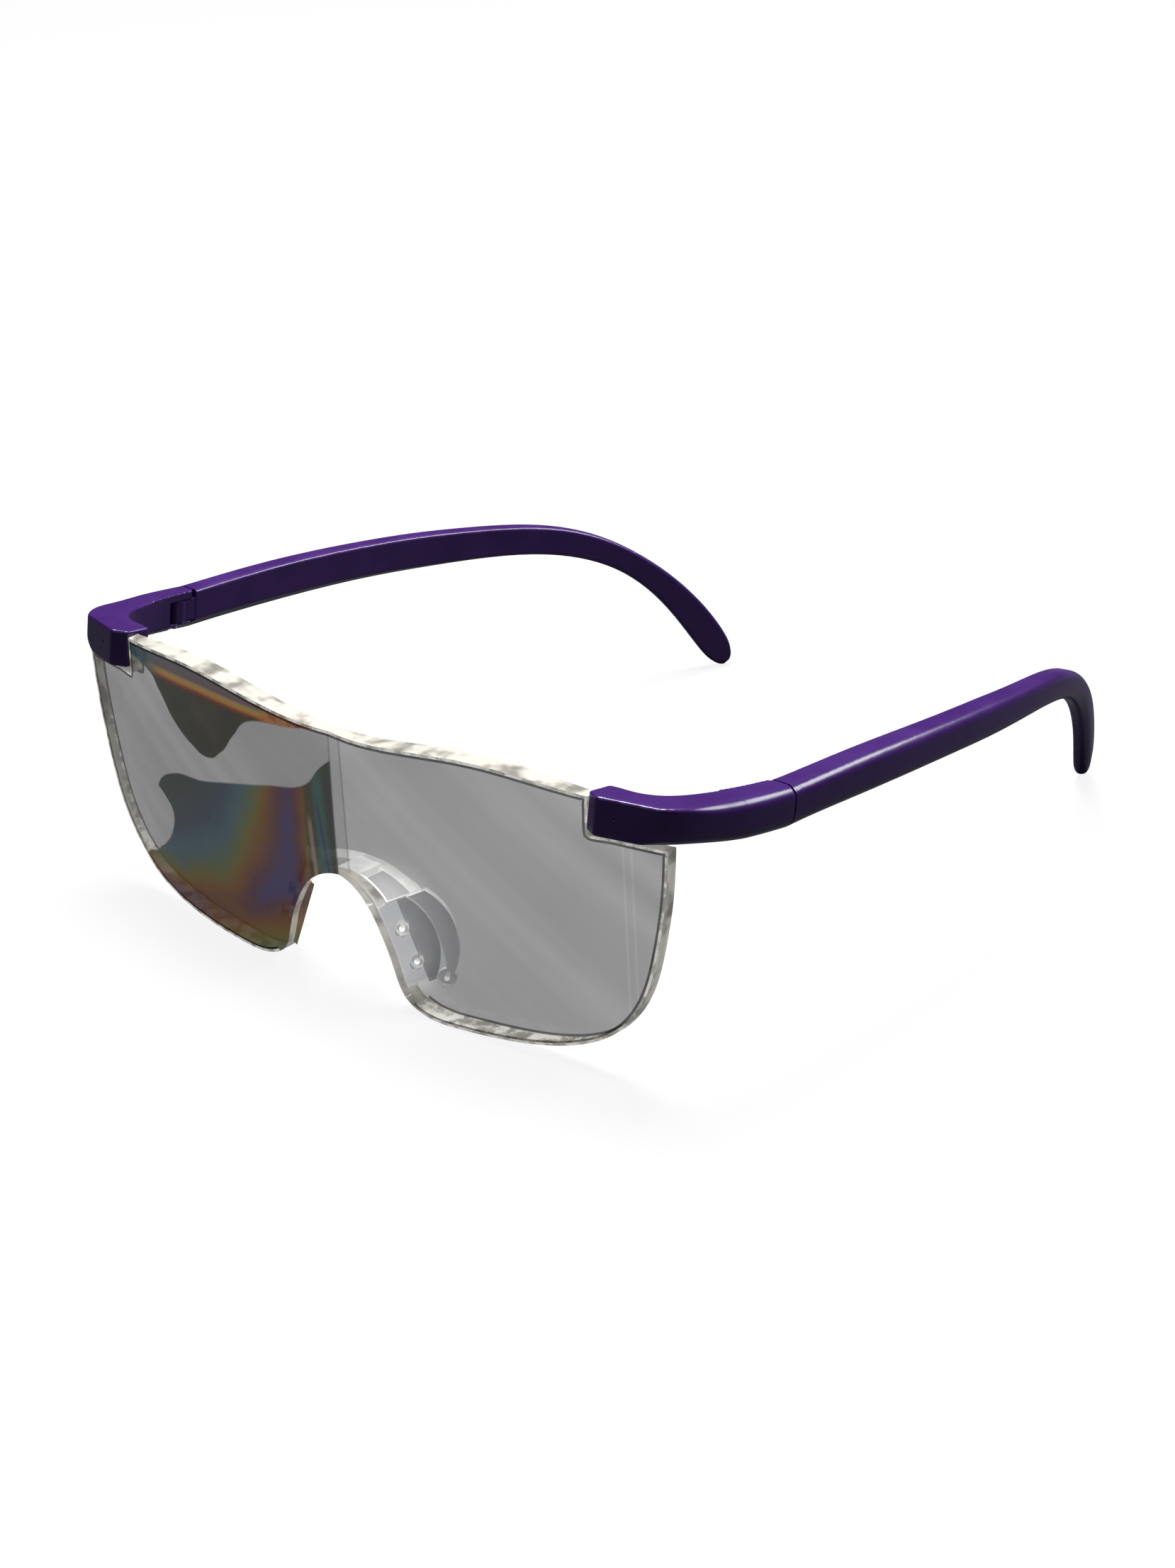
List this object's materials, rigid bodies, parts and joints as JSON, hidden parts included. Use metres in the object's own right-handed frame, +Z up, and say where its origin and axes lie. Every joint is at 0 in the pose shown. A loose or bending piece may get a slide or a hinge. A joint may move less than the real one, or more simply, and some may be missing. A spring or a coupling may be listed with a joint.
{
  "type": "magnifying glasses",
  "caption": "Head-worn magnifying glasses: a one-piece clear shield with two magnifying lenses, corner end pieces, folding curved temples and a clear nose saddle.",
  "frame": {"origin": "middle of the footprint on the table, where the glasses rest open on the shield's lower edge and both temple tips", "axes": "+Z up from the table, +Y from the shield back along the temples, +X to the right as seen from in front (the wearer's left)"},
  "size_m": [0.1496, 0.1634, 0.0522],
  "materials": {
    "clear_shield": "polished, clear",
    "clear_saddle": "polished, clear",
    "frame": "pearly gloss",
    "steel": "turned"
  },
  "bodies": {
    "front": {"lens_shield": "clear_shield", "nose_saddle": "clear_saddle", "end_piece_right": "frame", "end_piece_left": "frame", "hinge_pin_right": "steel", "hinge_pin_left": "steel", "lens_screw_right": "steel", "lens_screw_left": "steel"},
    "temple_right": {"temple_right": "frame"},
    "temple_left": {"temple_left": "frame"}
  },
  "joints": [
    {"name": "fold_right", "type": "hinge", "parent": "front", "child": "temple_right", "pos_m": [0.0706, -0.05108, 0.04478], "axis": [0, 0.1319, 0.9913], "range_deg": [0, 80]},
    {"name": "fold_left", "type": "hinge", "parent": "front", "child": "temple_left", "pos_m": [-0.0706, -0.05108, 0.04478], "axis": [0, -0.1319, -0.9913], "range_deg": [0, 68]}
  ]
}
